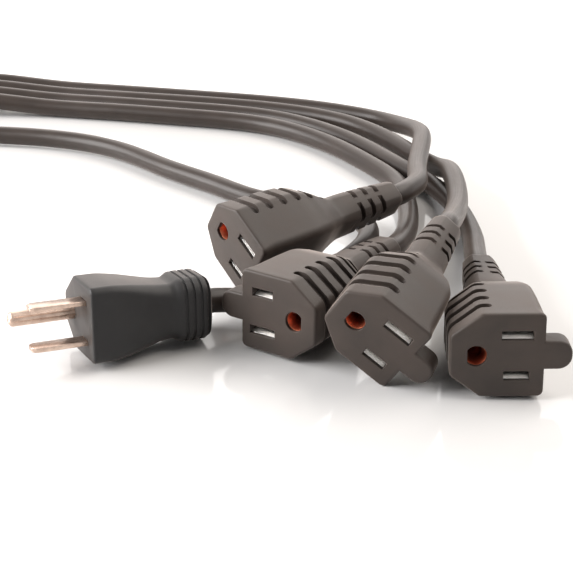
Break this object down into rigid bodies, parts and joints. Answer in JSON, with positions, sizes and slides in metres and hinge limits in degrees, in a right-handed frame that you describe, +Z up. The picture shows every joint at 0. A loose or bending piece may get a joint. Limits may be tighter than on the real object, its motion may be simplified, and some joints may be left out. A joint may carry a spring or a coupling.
{
  "type": "power cord splitter",
  "caption": "Grounded plug on a short black lead that branches at a moulded junction into tails, each ending in a grounded receptacle with a pull tab and grip grooves.",
  "frame": {"origin": "on the supporting surface, under the centre of the box round the plug, the receptacles and the junction", "axes": "+Z up from the surface; the receptacle faces point roughly to -Y and the plug's blades to -X"},
  "size_m": [0.351, 0.329, 0.0333],
  "materials": {
    "housing": "satin moulded PVC",
    "cord": "smooth PVC jacket with a soft sheen",
    "blade": "nickel-tinted brass, lightly brushed",
    "contact": "bright tinned strip",
    "ground_contact": "bare copper alloy"
  },
  "bodies": {
    "root": {"plug_housing": "housing", "plug_hot_blade": "blade", "plug_neutral_blade": "blade", "plug_ground_pin": "blade", "junction_housing": "housing", "junction_hot_splice": "ground_contact", "junction_ground_splice": "ground_contact", "junction_neutral_splice": "ground_contact", "receptacle_1_housing": "housing", "receptacle_1_hot_contact": "contact", "receptacle_1_neutral_contact": "contact", "receptacle_1_ground_contact": "ground_contact", "receptacle_2_housing": "housing", "receptacle_2_hot_contact": "contact", "receptacle_2_neutral_contact": "contact", "receptacle_2_ground_contact": "ground_contact", "receptacle_3_housing": "housing", "receptacle_3_hot_contact": "contact", "receptacle_3_neutral_contact": "contact", "receptacle_3_ground_contact": "ground_contact", "receptacle_4_housing": "housing", "receptacle_4_hot_contact": "contact", "receptacle_4_neutral_contact": "contact", "receptacle_4_ground_contact": "ground_contact", "lead_cord": "cord", "tail_cord_1": "cord", "tail_cord_2": "cord", "tail_cord_3": "cord", "tail_cord_4": "cord"}
  },
  "joints": []
}
